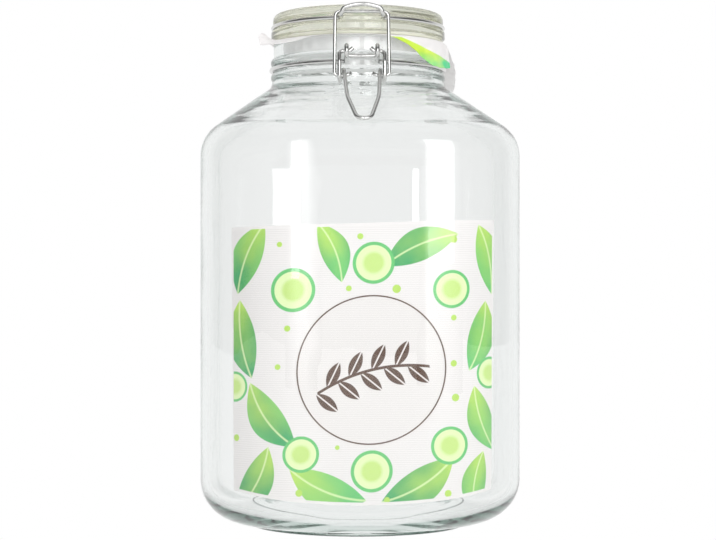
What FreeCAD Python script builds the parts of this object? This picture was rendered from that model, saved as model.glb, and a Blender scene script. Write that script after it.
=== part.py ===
"""A five-litre clip-top jar of clear glass, shut, with a printed leaf caught under its lid and a label inside.

Frame: +Z up, the clip at the front (-Y), the hinge at the back (+Y), millimetres, z = 0 under the foot.
"""

import FreeCAD, Part

import math
import os

import Sketcher
from FreeCAD import Placement, Rotation, Vector

DIMENSIONS = {
    # the glass jar
    "body_half": 87.5,         # half the width across the flats
    "body_flat": 32.5,         # half the straight run of each side
    "heel_round": 27.0,        # round from the wall to the foot
    "heel_lift": 2.0,          # how far above the ground the heel's round stops
    "wall": 4.0,
    "floor_thick": 8.0,        # glass under the cavity
    "foot_spread": 1.0,        # how far the foot stands out of the heel's round
    "foot_height": 3.4,
    "foot_recess": 1.5,
    "foot_land": 8.0,          # width of the ring that the jar stands on
    "shoulder_round": 22.0,
    "shoulder_slope": 38.0,    # degrees under the horizontal
    "neck_root": 246.0,        # height where the shoulder meets the neck
    "neck_radius": 47.7,
    "neck_flare": 1.0,         # how much wider the neck is at its root
    "neck_wall": 5.0,
    "rim_rise": 24.3,          # from the neck's root to the rim
    "rim_round": 1.5,
    "groove_rise": 9.6,        # from the neck's root to the middle of its wire groove
    "groove_half": 1.7,
    "bead_out": 1.7,           # how far each bead stands out of the neck
    "bead_round": 2.6,
    # the glass lid
    "lid_over": 0.4,           # how much wider than the neck the lid is
    "crown_rise": 5.86,        # from the lid's wire groove to its top
    "lid_round": 3.2,
    "lid_dish": 1.2,
    "flange_over": 1.4,
    "flange_thick": 5.1,
    "flange_round": 1.2,
    "lid_groove_half": 1.7,
    "lid_groove_deep": 1.4,
    "plug_room": 1.9,          # between the plug and the bore
    "plug_depth": 10.0,
    "plug_draft": 1.0,
    # the sealing ring and the leaf that it presses on the rim
    "gasket_thick": 1.8,
    "gasket_width": 6.2,
    "paper": 0.3,
    "leaf_gap": 0.08,
    "leaf_overhang": 1.0,
    # wires
    "frame_wire": 2.4,         # lid wire and neck wire, diameter
    "lever_wire": 2.2,
    "bail_wire": 2.0,
    "seat_gap": 0.1,
    # the clip
    "clip_away": 1.9,          # beyond two wires from the neck, to the lever's pivot
    "clip_rise": 3.5,          # from the top of the neck wire to the lever's pivot
    "clip_throw": 13.0,        # from the lever's pivot to the bail's pivot
    "clip_back": 0.5,          # how far the bail's pivot lies behind the lever's
    "pivot_eye_half": 8.3,     # x of the neck wire's two eyes
    "pivot_eye_bore": 2.0,     # radius inside those eyes
    "lever_half": 12.2,        # x of the lever's side arms
    "lever_eye_bend": 3.0,
    "lever_eye_pitch": 2.5,
    "handle_reach": 29.5,      # outward run of the thumb handle
    "handle_drop": 29.5,
    "handle_tip_half": 3.6,
    "bail_half": 14.5,
    "bail_bar_rise": 2.56,     # from the lid's wire groove to the bail's top bar
    "bail_away": 4.6,          # from the lid to the bail's top bar
    "catch_half": 11.2,
    "catch_away": 9.9,
    "catch_rise": 4.6,
    "catch_bow": 1.9,
    # the hinge
    "hinge_away": 9.3,         # from the neck to the hinge pins
    "hinge_drop": 4.3,         # from the rim down to the hinge pins
    "hinge_eye_half": 8.5,
    "hinge_post_half": 4.2,
    "hinge_pin_end": 12.0,
    # the label inside the jar
    "label_lift": 11.7,        # from the floor of the jar
    "label_drop": 79.0,        # from the neck's root to the label's top edge
    "label_tilt": 1.75,        # degrees, right side up
    "label_turn": 45.5,        # degrees of each corner that the label follows
    "label_rise": 6.7,         # how much its lower corners ride up
    "label_gap": 0.5,
    "label_foot_gap": 2.2,
}

DERIVED = {
    "heel_height": "heel_round + heel_lift",
    "foot_radius": "body_half - heel_round + foot_spread",
    "neck_base_radius": "neck_radius + neck_flare",
    "bore_radius": "neck_radius - neck_wall",
    "rim_height": "neck_root + rim_rise",
    "groove_height": "neck_root + groove_rise",
    "lid_radius": "neck_radius + lid_over",
    "flange_radius": "neck_radius + flange_over",
    "plug_radius": "bore_radius - plug_room",
    "pivot_eye_bend": "pivot_eye_bore + frame_wire / 2",
    "clip_out": "neck_radius + seat_gap + 2 * frame_wire + clip_away",
    "clip_height": "groove_height + frame_wire / 2 + clip_rise",
    "bail_bar_out": "lid_radius + bail_away",
    "catch_out": "lid_radius + catch_away",
    "hinge_out": "neck_radius + hinge_away",
    "hinge_height": "rim_height - hinge_drop",
    "label_bottom": "floor_thick + label_lift",
    "label_top": "neck_root - label_drop",
}


class Size:
    """A length that keeps the spreadsheet formula it comes from, so that what uses it stays bound to the sheet."""

    def __init__(self, value, formula):
        self.value = float(value)
        self.formula = formula

    @staticmethod
    def of(thing):
        return thing if isinstance(thing, Size) else Size(thing, f"({float(thing)!r})")

    def _with(self, sign, other, value):
        return Size(value, f"({self.formula} {sign} {other.formula})")

    def __add__(self, other):
        other = Size.of(other)
        return self._with("+", other, self.value + other.value)

    def __sub__(self, other):
        other = Size.of(other)
        return self._with("-", other, self.value - other.value)

    def __mul__(self, other):
        other = Size.of(other)
        return self._with("*", other, self.value * other.value)

    def __truediv__(self, other):
        other = Size.of(other)
        return self._with("/", other, self.value / other.value)

    def __radd__(self, other):
        return Size.of(other) + self

    def __rsub__(self, other):
        return Size.of(other) - self

    def __rmul__(self, other):
        return Size.of(other) * self

    def __neg__(self):
        return Size(-self.value, f"(-1 * {self.formula})")

    def __float__(self):
        return self.value


def sine(angle):
    """Sine of a size in degrees."""
    return Size(math.sin(math.radians(angle.value)), f"sin({angle.formula})")


def cosine(angle):
    """Cosine of a size in degrees."""
    return Size(math.cos(math.radians(angle.value)), f"cos({angle.formula})")


def tangent(angle):
    """Tangent of a size in degrees."""
    return Size(math.tan(math.radians(angle.value)), f"tan({angle.formula})")


doc = FreeCAD.newDocument("clip_top_jar")
sheet = doc.addObject("Spreadsheet::Sheet", "dims")
size = {}
formulas = {alias: "=" + formula for alias, formula in DERIVED.items()}
for row, (alias, content) in enumerate((DIMENSIONS | formulas).items(), start=1):
    sheet.set(f"A{row}", alias)
    sheet.set(f"B{row}", str(content))
    sheet.setAlias(f"B{row}", alias)
doc.recompute()
for alias in DIMENSIONS | DERIVED:
    size[alias] = Size(sheet.get(alias), f"dims.{alias}")


def bind(thing, **properties):
    """Bind properties of a document object to sizes; a double underscore stands for a dot."""
    for name, value in properties.items():
        thing.setExpression(name.replace("__", "."), Size.of(value).formula)


def origin_plane(body, role):
    """One of a body's own origin planes, by its role."""
    return next(plane for plane in body.Origin.OriginFeatures if plane.Role == role)


# --- sketches ---------------------------------------------------------------------------------------------------------


def arc_through(start, end, radius, left):
    """The arc of this radius from start to end; left says that it turns left on the way."""
    chord = end - start
    height = math.sqrt(max(radius ** 2 - (chord.Length / 2) ** 2, 0))
    normal = Vector(-chord.y, chord.x, 0).normalize()
    centre = (start + end) * 0.5 + normal * (height if left else -height)
    circle = Part.Circle(centre, Vector(0, 0, 1), radius)
    first, last = (start, end) if left else (end, start)
    angle = [math.atan2(point.y - centre.y, point.x - centre.x) for point in (first, last)]
    return Part.ArcOfCircle(circle, *angle)


def draw(sketch, corners):
    """A closed outline of corners (across, up, radius): radius, if given, bends the edge to the next corner,
    turning left where it is positive and right where it is negative. Every corner and radius is bound."""
    points = [Vector(Size.of(c[0]).value, Size.of(c[1]).value, 0) for c in corners]
    edges = []
    for place, corner in enumerate(corners):
        start, end = points[place], points[(place + 1) % len(points)]
        if len(corner) == 2:
            index = sketch.addGeometry(Part.LineSegment(start, end), False)
            edges.append((index, 1, 2, None))
        else:
            radius = Size.of(corner[2])
            left = radius.value > 0
            index = sketch.addGeometry(arc_through(start, end, abs(radius.value), left), False)
            edges.append((index, 1 if left else 2, 2 if left else 1, radius if left else -radius))
    for place, (index, first, last, radius) in enumerate(edges):
        following = edges[(place + 1) % len(edges)]
        sketch.addConstraint(Sketcher.Constraint("Coincident", index, last, following[0], following[1]))
        for direction, value in zip(("DistanceX", "DistanceY"), corners[place]):
            value = Size.of(value)
            number = sketch.addConstraint(Sketcher.Constraint(direction, -1, 1, index, first, value.value))
            sketch.setExpression(f"Constraints[{number}]", value.formula)
        if radius is not None:
            number = sketch.addConstraint(Sketcher.Constraint("Radius", index, radius.value))
            sketch.setExpression(f"Constraints[{number}]", radius.formula)
    return sketch


def sketch_in(body, name, plane):
    """A sketch of the body, flat on one of its origin planes."""
    sketch = body.newObject("Sketcher::SketchObject", name)
    sketch.AttachmentSupport = [(origin_plane(body, plane), "")]
    sketch.MapMode = "FlatFace"
    return sketch


def turn(body, name, corners, kind="Revolution"):
    """A full turn of an outline of (radius, height) corners about the Z axis."""
    sketch = draw(sketch_in(body, name + "_outline", "XZ_Plane"), corners)
    feature = body.newObject("PartDesign::" + kind, name)
    feature.Profile = sketch
    feature.ReferenceAxis = (sketch, ["V_Axis"])
    feature.Angle = 360
    return feature


def new_body(label):
    """A PartDesign body whose label names the node."""
    body = doc.addObject("PartDesign::Body", label)
    body.Label = label
    return body


# --- the glass jar ----------------------------------------------------------------------------------------------------


def square_section(body, name, height, half, flat):
    """A square with rounded corners, flat on its sides for 2 x flat, at a height."""
    sketch = sketch_in(body, name, "XY_Plane")
    bind(sketch, AttachmentOffset__Base__z=height)
    bend = half - flat
    draw(sketch, [
        (-flat, -half), (flat, -half, bend), (half, -flat), (half, flat, bend),
        (flat, half), (-flat, half, bend), (-half, flat), (-half, -flat, bend),
    ])
    return sketch


def loft(body, name, kind, sections):
    """A smooth skin over square sections."""
    feature = body.newObject("PartDesign::" + kind, name)
    feature.Profile = sections[0]
    feature.Sections = sections[1:]
    return feature


def square_vessel(body, name, inset, heel_round, end_radius, adds):
    """Heel, wall and shoulder of the jar's skin, moved in by inset: lofts from round to square and back."""
    half = size["body_half"] - inset
    full_flat = size["body_flat"]
    heel_height = size["heel_height"]
    heel_centre = half - heel_round
    sections = []
    for step, degrees in enumerate((88, 72, 56, 40, 26, 12, 0)):
        angle = Size.of(degrees)
        flat = full_flat * (0.02 + 0.98 * cosine(angle))
        reach = heel_centre + heel_round * cosine(angle)
        height = heel_height - heel_round * sine(angle)
        sections.append(square_section(body, f"{name}_heel_{step}", height, reach, flat))
    loft(body, name + "_heel", "AdditiveLoft" if adds else "SubtractiveLoft", sections)

    bend = size["shoulder_round"] - inset
    slope = size["shoulder_slope"]
    inner = half - bend
    knee = inner + bend * sine(slope)
    root_drop = (knee - end_radius) * tangent(slope) + bend * cosine(slope)
    outer_knee = size["body_half"] - size["shoulder_round"] * (1 - sine(slope))
    wall_top = (size["neck_root"] - (outer_knee - size["neck_base_radius"]) * tangent(slope)
                - size["shoulder_round"] * cosine(slope))

    wall = square_section(body, name + "_wall_section", heel_height, half, full_flat)
    pad = body.newObject("PartDesign::Pad" if adds else "PartDesign::Pocket", name + "_wall")
    pad.Profile = wall
    pad.Reversed = not adds
    bind(pad, Length=wall_top - heel_height)

    sections = []
    turn_end = 90 - slope
    for step, share in enumerate((0, 0.2, 0.42, 0.7, 1.0)):
        angle = turn_end * share
        reach = inner + bend * cosine(angle)
        flat = full_flat * (0.02 + 0.98 * (reach - end_radius) / (half - end_radius))
        sections.append(square_section(body, f"{name}_shoulder_{step}", wall_top + bend * sine(angle), reach, flat))
    for step, share in enumerate((0.35, 0.7, 1.0), start=5):
        reach = knee + (end_radius - knee) * share
        flat = full_flat * (0.02 + 0.98 * (reach - end_radius) / (half - end_radius))
        height = wall_top + bend * cosine(slope) + (root_drop - bend * cosine(slope)) * share
        sections.append(square_section(body, f"{name}_shoulder_{step}", height, reach, flat))
    loft(body, name + "_shoulder", "AdditiveLoft" if adds else "SubtractiveLoft", sections)
    return wall_top + root_drop


def glass_jar():
    """Round foot and neck, rounded-square body, all one piece of glass."""
    body = new_body("glass_jar")
    neck = size["neck_radius"]
    base = size["neck_base_radius"]
    rim = size["rim_height"]
    corner = size["rim_round"]
    groove = size["groove_height"]
    half_groove = size["groove_half"]
    bead = size["bead_round"]
    out = size["bead_out"]
    tall = 2 * (bead * bead - (bead - out) * (bead - out))
    bead_height = Size(math.sqrt(tall.value * 2), f"sqrt({tall.formula} * 2)")
    square_vessel(body, "skin", Size.of(0), size["heel_round"], base - 2, True)
    turn(body, "foot", [
        (0, 1.2 * size["foot_recess"]), (size["foot_radius"] - size["foot_land"] - 3, size["foot_recess"]),
        (size["foot_radius"] - size["foot_land"], 0), (size["foot_radius"] - 1, 0),
        (size["foot_radius"], 1), (size["foot_radius"], size["foot_height"]),
        (size["foot_radius"] - 6, size["floor_thick"] - 1), (0, size["floor_thick"] - 1),
    ])
    turn(body, "neck", [
        (size["bore_radius"] - 1, size["neck_root"] - 3), (base, size["neck_root"] - 3),
        (base, groove - half_groove - bead_height), (neck, groove - half_groove - bead_height, bead),
        (neck, groove - half_groove), (neck, groove + half_groove, bead),
        (neck, groove + half_groove + bead_height), (neck, rim - corner, corner),
        (neck - corner, rim), (size["bore_radius"] - 1, rim),
    ])
    cavity_top = square_vessel(body, "cavity", size["wall"], size["heel_height"] - size["floor_thick"],
                               size["bore_radius"] - 1.2, False)
    turn(body, "bore", [
        (0, cavity_top - 3), (size["bore_radius"], cavity_top - 3), (size["bore_radius"], rim - corner),
        (size["bore_radius"] + corner * 0.6, rim + 1), (0, rim + 1),
    ], "Groove")
    return body


# --- the closure: lid, sealing ring, leaf -------------------------------------------------------------------------------

leaf_bottom = size["rim_height"] + size["leaf_gap"]
leaf_top = leaf_bottom + size["paper"]
gasket_bottom = leaf_top + size["leaf_gap"]
gasket_top = gasket_bottom + size["gasket_thick"]
seam = gasket_top + size["leaf_gap"]
lid_groove_height = seam + size["flange_thick"] + size["lid_groove_half"]


def glass_lid():
    """Pressed glass lid: a plug that drops into the mouth, a flange on the sealing ring, a groove for the wire."""
    body = new_body("glass_lid")
    flange = size["flange_radius"]
    crown = size["lid_radius"]
    small = size["flange_round"]
    large = size["lid_round"]
    neck = crown - size["lid_groove_deep"]
    low = lid_groove_height - size["lid_groove_half"]
    high = lid_groove_height + size["lid_groove_half"]
    plug = size["plug_radius"]
    foot = seam - size["plug_depth"]
    top = high + size["crown_rise"]
    turn(body, "pressing", [
        (0, foot + size["lid_dish"]), (plug - 9, foot + size["lid_dish"]),
        (plug - 6, foot), (plug - size["plug_draft"] - small, foot, small),
        (plug - size["plug_draft"], foot + small), (plug, seam),
        (flange - small, seam, small), (flange, seam + small),
        (flange, low - small, small), (flange - small, low),
        (neck, low), (neck, high),
        (crown - small, high, small), (crown, high + small),
        (crown, top - large, large), (crown - large, top),
        (crown - 8, top), (crown - 11, top - size["lid_dish"]), (0, top - size["lid_dish"]),
    ])
    return body


def gasket():
    """Rubber sealing ring round the plug."""
    body = new_body("gasket")
    inner = size["plug_radius"] + 0.4
    outer = inner + size["gasket_width"]
    bulge = size["gasket_thick"] / 2
    turn(body, "ring", [
        (inner, gasket_bottom), (outer - bulge, gasket_bottom, bulge * 1.0001),
        (outer - bulge, gasket_top), (inner, gasket_top),
    ])
    return body


def ear(name, azimuth, droop, length, half_span, skew=0.0):
    """A corner of the leaf that sticks out past the rim: a cone of paper, cut to a point."""
    root = size["neck_radius"] + 0.5
    down, out = math.sin(math.radians(droop)), math.cos(math.radians(droop))
    fold = size["paper"] * math.tan(math.radians(droop / 2))
    body = new_body(name + "_cone")
    turn(body, name + "_skirt", [
        (root - 1, leaf_bottom), (root, leaf_bottom), (root + length * out, leaf_bottom - length * down),
        (root + length * out + size["paper"] * down, leaf_bottom - length * down + size["paper"] * out),
        (root + fold, leaf_top), (root - 1, leaf_top),
    ])
    point = doc.addObject("Part::Wedge", name + "_point")
    apex = root + length * out + 0.5
    base = root * math.cos(math.radians(half_span))
    half = root * math.sin(math.radians(half_span))
    tall = Size.of(2 * length + 4)
    bind(point, Ymin=base, Ymax=apex, Xmin=-half, Xmax=half, Zmin=Size.of(0), Zmax=tall)
    bind(point, X2min=Size.of(skew - 0.6), X2max=Size.of(skew + 0.6), Z2min=Size.of(0), Z2max=tall)
    point.Placement = Placement(Vector(0, 0, 0), Rotation(Vector(0, 0, 1), azimuth - 90))
    bind(point, Placement__Base__z=leaf_top - length - 2)
    corner = doc.addObject("Part::Common", name)
    corner.Base, corner.Tool = body, point
    return corner


def leaf():
    """Printed square leaf laid over the mouth: the plug presses it into a cup and its corners stick out."""
    body = new_body("leaf_cup")
    wall = size["plug_radius"] + 0.7
    low = seam - size["plug_depth"] - 0.4
    edge = size["neck_radius"] + size["leaf_overhang"]
    turn(body, "cup", [
        (0, low - size["paper"]), (wall + size["paper"], low - size["paper"]),
        (wall + size["paper"], leaf_bottom), (edge, leaf_bottom), (edge, leaf_top),
        (wall, leaf_top), (wall, low), (0, low),
    ])
    corners = [
        ear("ear_left", 208, 19, 15.0, 29),
        ear("ear_left_fold", 190, -48, 7.0, 14),
        ear("ear_front", 317, 72, 18.0, 38, -6.0),
        ear("ear_right", 30, 57, 30.0, 33),
        ear("ear_back", 121, 9, 12.0, 30),
    ]
    sheet_of_paper = doc.addObject("Part::MultiFuse", "leaf")
    sheet_of_paper.Label = "leaf"
    sheet_of_paper.Shapes = [body, *corners]
    return sheet_of_paper


# --- the label inside the jar -------------------------------------------------------------------------------------------


def label_strip(name, height, gap):
    """The label's section at a height: flat along the front, bent round the two front corners of the cavity."""
    centre = size["body_flat"]
    outer = size["body_half"] - size["wall"] - centre - gap
    inner = outer - size["paper"]
    across = sine(size["label_turn"])
    along = cosine(size["label_turn"])
    sketch = doc.addObject("Sketcher::SketchObject", name)
    bind(sketch, Placement__Base__z=height)
    draw(sketch, [
        (-centre - outer * across, -centre - outer * along, outer), (-centre, -centre - outer),
        (centre, -centre - outer, outer), (centre + outer * across, -centre - outer * along),
        (centre + inner * across, -centre - inner * along, -inner), (centre, -centre - inner),
        (-centre, -centre - inner, -inner), (-centre - inner * across, -centre - inner * along),
    ])
    return sketch


def label():
    """Printed paper label, stood on the floor of the jar and sprung against its front."""
    low, high = size["label_bottom"], size["label_top"]
    strip = doc.addObject("Part::Loft", "label_strip")
    strip.Sections = [
        label_strip("label_foot", low, size["label_foot_gap"]),
        label_strip("label_head", high + 5, size["label_gap"]),
    ]
    strip.Solid = True
    strip.Ruled = True
    side = size["body_half"]
    rise = size["label_rise"] * 1.6
    bow = (side * side + rise * rise) / (2 * rise)
    lift = side * tangent(size["label_tilt"])
    cut = new_body("label_cut")
    sketch = draw(sketch_in(cut, "label_front", "XZ_Plane"), [
        (-side, low + rise, bow), (side, low + rise), (side, high + lift), (-side, high - lift),
    ])
    pad = cut.newObject("PartDesign::Pad", "label_front_pad")
    pad.Profile = sketch
    bind(pad, Length=side)
    sheet_of_paper = doc.addObject("Part::Common", "label")
    sheet_of_paper.Label = "label"
    sheet_of_paper.Base, sheet_of_paper.Tool = strip, cut
    return sheet_of_paper


# --- bent wires ---------------------------------------------------------------------------------------------------------


def route(bends):
    """A wire path through corners (x, y, z, radius): straight runs joined by tangent arcs."""
    points = [Vector(*bend[:3]) for bend in bends]
    edges = []
    last = points[0]
    for place in range(1, len(points) - 1):
        corner, radius = points[place], bends[place][3]
        before = (points[place - 1] - corner).normalize()
        after = (points[place + 1] - corner).normalize()
        opening = before.getAngle(after)
        if math.pi - opening < 1e-6:
            continue
        setback = radius / math.tan(opening / 2)
        middle = (before + after).normalize()
        start = corner + before * setback
        end = corner + after * setback
        top = corner + middle * (radius / math.sin(opening / 2) - radius)
        run = (start - last).dot(before * -1)
        if run < -1e-6:
            raise SystemExit(f"a bend is too large for its run: {bends[place]}")
        if run > 1e-5:
            edges.append(Part.LineSegment(last, start).toShape())
        edges.append(Part.Arc(start, top, end).toShape())
        last = end
    if (points[-1] - last).Length > 1e-5:
        edges.append(Part.LineSegment(last, points[-1]).toShape())
    return Part.Wire(edges)


def both_sides(half):
    """A symmetric route from its left half, which ends on the middle plane or one step short of it."""
    mirrored = [(-x, y, z, radius) for x, y, z, radius in reversed(half)]
    if abs(half[-1][0]) < 1e-9:
        mirrored = mirrored[1:]
    return half + mirrored


def ring(radius, height, start, end, steps):
    """Corners of the arc from azimuth start to end, degrees from the front towards -X: its tangent lines meet there."""
    turn_each = (end - start) / steps
    far = radius / math.cos(math.radians(turn_each / 2))
    corners = []
    for step in range(steps):
        angle = math.radians(start + (step + 0.5) * turn_each)
        corners.append((-far * math.sin(angle), -far * math.cos(angle), height, radius))
    return corners


def bent_wire(label, bends, diameter):
    """A round wire along a route."""
    path = doc.addObject("Part::Feature", label + "_path")
    path.Shape = route(bends)
    start, ahead = Vector(*bends[0][:3]), Vector(*bends[1][:3])
    section = doc.addObject("Part::Circle", label + "_section")
    section.Placement = Placement(start, Rotation(Vector(0, 0, 1), ahead - start))
    bind(section, Radius=diameter / 2)
    wire = doc.addObject("Part::Sweep", label)
    wire.Label = label
    wire.Sections = [section]
    wire.Spine = (path, [f"Edge{number}" for number in range(1, len(path.Shape.Edges) + 1)])
    wire.Solid = True
    wire.Frenet = False
    return wire


def leaving(ring_radius, bend, side):
    """Azimuth in degrees where a ring bends outward by this radius to run straight out at x = -side, and how far
    out the tangents of that bend meet."""
    azimuth = math.asin((side + bend) / (ring_radius + bend))
    reach = bend * math.tan((math.pi / 2 - azimuth) / 2)
    corner_out = ring_radius * math.cos(azimuth) + reach * math.sin(azimuth)
    return math.degrees(azimuth), corner_out


def neck_wire():
    """Wire round the neck: two pins at the back carry the lid, two eyes at the front carry the lever."""
    wire = float(size["frame_wire"])
    around = float(size["neck_radius"]) + wire / 2 + float(size["seat_gap"])
    level = float(size["groove_height"])
    bend = wire
    eye_side = float(size["pivot_eye_half"])
    eye_bend = float(size["pivot_eye_bend"])
    eye_out = float(size["clip_out"])
    eye_level = float(size["clip_height"])
    post = float(size["hinge_post_half"])
    hinge_out = float(size["hinge_out"])
    hinge_level = float(size["hinge_height"])
    front, front_corner = leaving(around, bend, eye_side)
    back, back_corner = leaving(around, bend, post)
    half = [
        (-float(size["hinge_pin_end"]), hinge_out, hinge_level, 0),
        (-post, hinge_out, hinge_level, bend),
        (-post, hinge_out, level, bend),
        (-post, back_corner, level, bend),
    ]
    half += reversed(ring(around, level, front, 180 - back, 5))
    half += [
        (-eye_side, -front_corner, level, bend),
        (-eye_side, -front_corner - bend * 1.15, level, bend),
        (-eye_side, -eye_out + eye_bend * 0.25, eye_level - eye_bend, bend),
        (-eye_side, -eye_out - eye_bend, eye_level - eye_bend, eye_bend),
        (-eye_side, -eye_out - eye_bend, eye_level + eye_bend, eye_bend),
        (-eye_side, -eye_out + eye_bend, eye_level + eye_bend, eye_bend),
        (-eye_side, -eye_out + eye_bend, eye_level - bend * 0.8, bend * 0.7),
        (0, -eye_out + eye_bend + 0.3, eye_level - bend * 0.8 - 0.5, 60.0),
    ]
    return bent_wire("neck_wire", both_sides(half), size["frame_wire"])


def lid_wire():
    """Wire round the lid: eyes at the back turn on the hinge pins, a raised catch at the front holds the bail."""
    wire = float(size["frame_wire"])
    around = float(size["lid_radius"] - size["lid_groove_deep"]) + wire / 2 + float(size["seat_gap"])
    level = float(lid_groove_height)
    bend = wire
    eye_side = float(size["hinge_eye_half"])
    eye_bend = wire + float(size["seat_gap"])
    hinge_out = float(size["hinge_out"])
    hinge_level = float(size["hinge_height"])
    side = float(size["catch_half"])
    catch_out = float(size["catch_out"])
    bar_level = level + float(size["bail_bar_rise"])
    leg_level = bar_level - float(size["bail_wire"] + size["frame_wire"]) / 2 - 0.3
    peak = leg_level + float(size["catch_rise"])
    front, front_corner = leaving(around, bend, side)
    back, back_corner = leaving(around, bend, eye_side)
    half = [
        (-eye_side, hinge_out + 0.2, hinge_level + eye_bend, 0),
        (-eye_side, hinge_out - eye_bend, hinge_level + eye_bend, eye_bend),
        (-eye_side, hinge_out - eye_bend, hinge_level - eye_bend, eye_bend),
        (-eye_side, hinge_out + eye_bend, hinge_level - eye_bend, eye_bend),
        (-eye_side, hinge_out + eye_bend, level, 4.0),
        (-eye_side, back_corner, level, bend),
    ]
    half += reversed(ring(around, level, front, 180 - back, 5))
    half += [
        (-side, -front_corner, level, bend),
        (-side, -front_corner - bend * 1.15, level, bend),
        (-side, -front_corner - bend * 2.2, leg_level, bend),
        (-side, -catch_out + 0.6, leg_level, 2.4),
        (-side + 0.9, -catch_out, peak - 0.9, 3.0),
        (0, -catch_out - float(size["catch_bow"]) / 2, peak + float(size["catch_bow"]), 24.0),
    ]
    return bent_wire("lid_wire", both_sides(half), size["frame_wire"])


def lever():
    """Lever of one wire: ends through the neck wire's eyes, a turn round each end of the bail, a thumb handle."""
    side = float(size["lever_half"])
    out = float(size["clip_out"])
    level = float(size["clip_height"])
    eye = float(size["lever_eye_bend"])
    pitch = float(size["lever_eye_pitch"])
    pivot_out = out - float(size["clip_back"])
    pivot_level = level - float(size["clip_throw"])
    slope = math.atan2(float(size["handle_drop"]), float(size["handle_reach"]))
    tip_out = pivot_out + float(size["handle_reach"])
    tip_level = pivot_level - float(size["handle_drop"])
    end = float(size["pivot_eye_half"]) - float(size["frame_wire"]) / 2 - 0.4
    lean = eye * math.tan(slope / 2)
    half = [
        (-end + 2.0, -out, level + 1.9, 0),
        (-end, -out, level, 2.0),
        (-side, -out, level, 2.2),
        (-side, -pivot_out - eye, level - 5.5, 6.0),
        (-side, -pivot_out - eye, pivot_level - eye, eye),
        (-side + pitch * 0.33, -pivot_out + eye, pivot_level - eye, eye),
        (-side + pitch * 0.67, -pivot_out + eye, pivot_level + eye, eye),
        (-side + pitch, -pivot_out - lean, pivot_level + eye, eye),
    ]
    first = Vector(*half[-1][:3])
    run = Vector(0, -math.cos(slope), -math.sin(slope))
    length = math.hypot(float(size["handle_reach"]), float(size["handle_drop"])) - lean
    swell = first + run * (length * 0.55) + Vector(1.2, 0, 0)
    tip = first + run * length
    half += [
        (swell.x, swell.y, swell.z, 30.0),
        (-float(size["handle_tip_half"]), tip.y, tip.z, 4.2),
    ]
    return bent_wire("lever", both_sides(half), size["lever_wire"])


def bail():
    """Bail: a hoop whose top bar hooks behind the catch and whose ends turn in the lever's eyes."""
    side = float(size["bail_half"])
    pivot_out = float(size["clip_out"] - size["clip_back"])
    pivot_level = float(size["clip_height"] - size["clip_throw"])
    bar_out = float(size["bail_bar_out"])
    bar_level = float(lid_groove_height + size["bail_bar_rise"])
    end = float(size["lever_half"] - size["lever_eye_pitch"]) - float(size["lever_wire"]) / 2 - 0.4
    half = [
        (-end + 2.6, -pivot_out, pivot_level + 1.4, 0),
        (-end, -pivot_out, pivot_level, 2.0),
        (-side - 0.3, -pivot_out, pivot_level, 2.0),
        (-side + 0.2, -bar_out, bar_level, 3.0),
    ]
    return bent_wire("bail", both_sides(half), size["bail_wire"])


# --- build, check, write ------------------------------------------------------------------------------------------------

nodes = [glass_jar(), glass_lid(), gasket(), leaf(), label(), neck_wire(), lid_wire(), lever(), bail()]
doc.recompute()

failed = [thing.Name for thing in doc.Objects if {"Invalid", "Error"} & set(thing.State)]
if failed:
    raise SystemExit(f"failed objects: {failed}")
os.makedirs("parts", exist_ok=True)
for node in nodes:
    shape = node.Shape
    if shape.isNull() or not shape.isValid() or len(shape.Solids) != 1:
        raise SystemExit(f"{node.Label}: not one valid solid ({len(shape.Solids)} solids)")
    box = shape.optimalBoundingBox()
    print(f"{node.Label:10s} {shape.Volume / 1000:9.3f} cm3  x {box.XMin:7.2f} {box.XMax:7.2f}  "
          f"y {box.YMin:7.2f} {box.YMax:7.2f}  z {box.ZMin:7.2f} {box.ZMax:7.2f}")
    shape.exportStep(f"parts/{node.Label}.step")
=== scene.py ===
# %% [markdown]
# # A large clip-top jar of clear glass
# The jar stands shut and empty. A wire hinge carries the glass lid, a wire clip holds it down on a sealing
# ring, a printed label stands inside and a printed leaf is caught under the lid. The solids come from the
# CAD model and stay where they are. They could just be coloured, but clear glass wants an even skin and
# paper wants to be thin, so glass, label and leaf are modelled anew in the same places. Seal and wires keep
# their own shape.
#
# The frame is loaded first, and the box of each of its nodes is printed.

# %% Load the frame
import math

import bpy
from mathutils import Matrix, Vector


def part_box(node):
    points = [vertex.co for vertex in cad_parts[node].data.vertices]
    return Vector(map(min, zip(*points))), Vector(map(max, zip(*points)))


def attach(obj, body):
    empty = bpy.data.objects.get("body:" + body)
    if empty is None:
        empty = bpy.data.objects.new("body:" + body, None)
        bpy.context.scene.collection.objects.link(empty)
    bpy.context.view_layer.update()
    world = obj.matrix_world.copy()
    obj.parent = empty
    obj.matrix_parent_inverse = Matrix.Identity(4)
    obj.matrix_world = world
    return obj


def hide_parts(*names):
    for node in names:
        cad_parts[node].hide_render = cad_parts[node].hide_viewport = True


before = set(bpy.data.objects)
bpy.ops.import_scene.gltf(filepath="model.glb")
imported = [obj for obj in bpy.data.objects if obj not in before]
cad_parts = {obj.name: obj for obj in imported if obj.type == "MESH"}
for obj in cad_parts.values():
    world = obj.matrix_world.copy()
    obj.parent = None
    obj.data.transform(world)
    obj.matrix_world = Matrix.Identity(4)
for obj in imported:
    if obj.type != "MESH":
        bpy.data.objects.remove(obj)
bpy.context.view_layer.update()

MM = 0.001
print("nodes:", sorted(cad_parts))


# %% Sizes of the nodes
def box_mm(node):
    """Lowest and highest corner of a CAD node, in millimetres to a hundredth."""
    return [[round(number / MM, 2) for number in corner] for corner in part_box(node)]


for node in sorted(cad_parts):
    print(node, *box_mm(node))

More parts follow.
